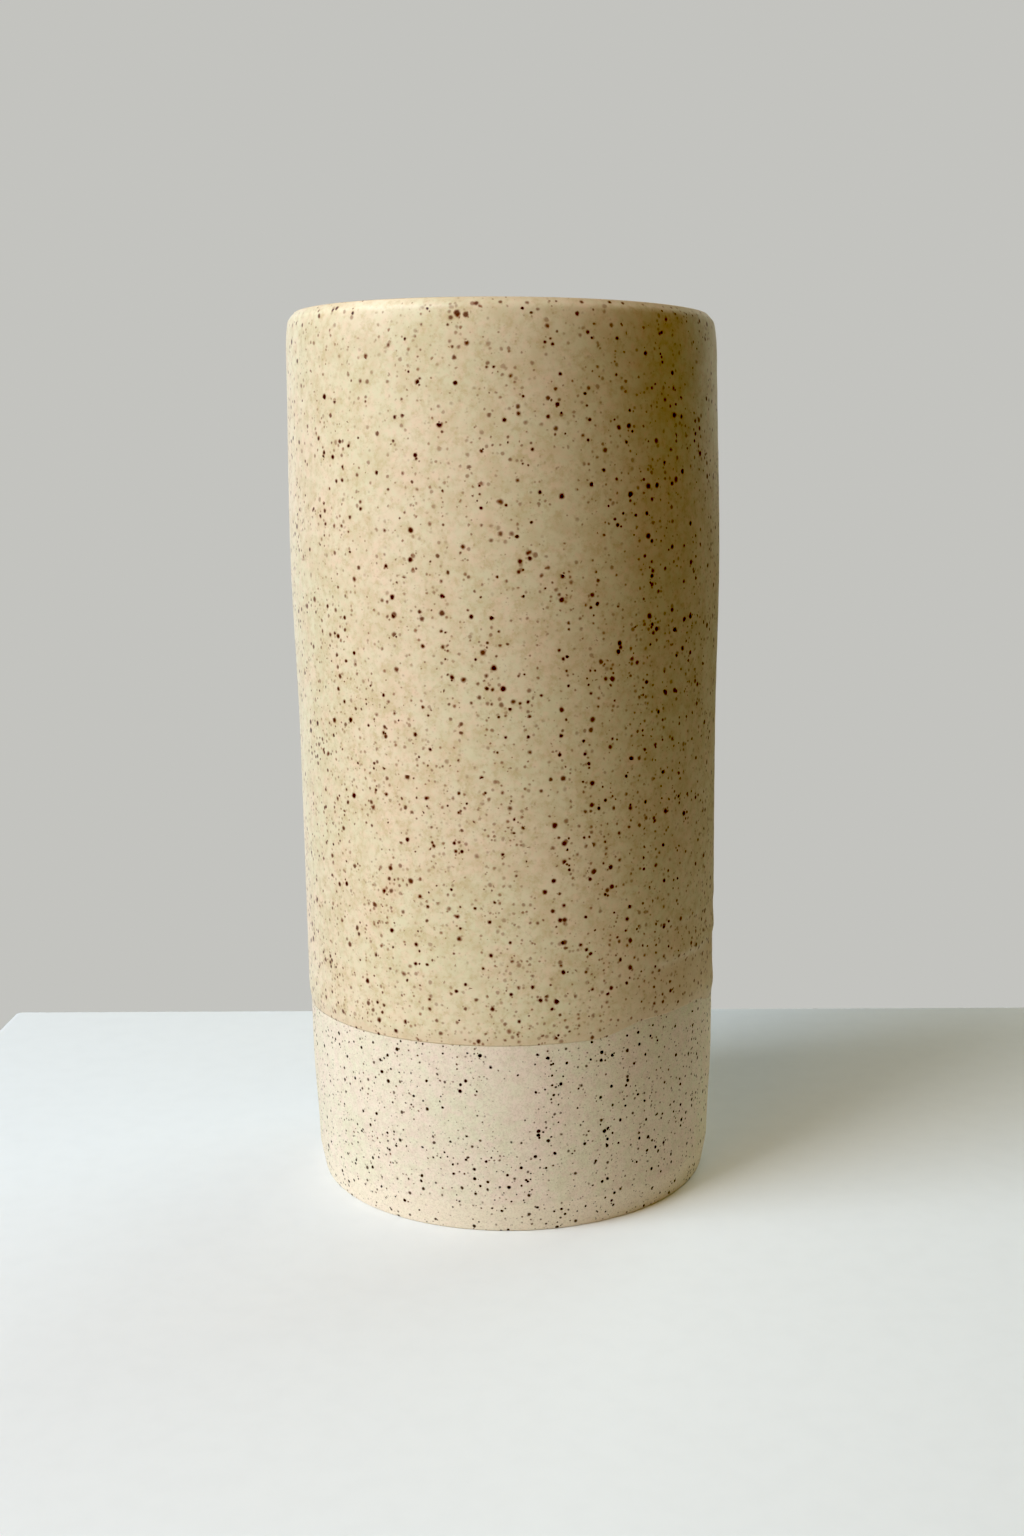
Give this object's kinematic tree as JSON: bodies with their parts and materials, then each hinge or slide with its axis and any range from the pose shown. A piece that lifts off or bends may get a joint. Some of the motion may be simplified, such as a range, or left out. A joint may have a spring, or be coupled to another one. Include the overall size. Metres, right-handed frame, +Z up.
{
  "type": "stoneware vase",
  "caption": "Tall straight-sided speckled stoneware vase, glazed cream inside and over the upper wall, with bare clay above the foot. Holds flower stems and water.",
  "frame": {"origin": "centre of the foot ring, on the surface that the vase stands on", "axes": "+Z up along the axis of the wheel, from foot to lip; +X and +Y are any two directions across it"},
  "size_m": [0.1016, 0.1016, 0.205],
  "materials": {
    "bare_stoneware": "matt unglazed clay with iron specks",
    "cream_glaze": "satin cream glaze with brown iron specks",
    "liner_glaze": "satin cream glaze with brown iron specks"
  },
  "bodies": {
    "root": {"stoneware_body": "bare_stoneware", "outer_glaze": "cream_glaze", "liner_glaze": "liner_glaze"}
  },
  "joints": []
}
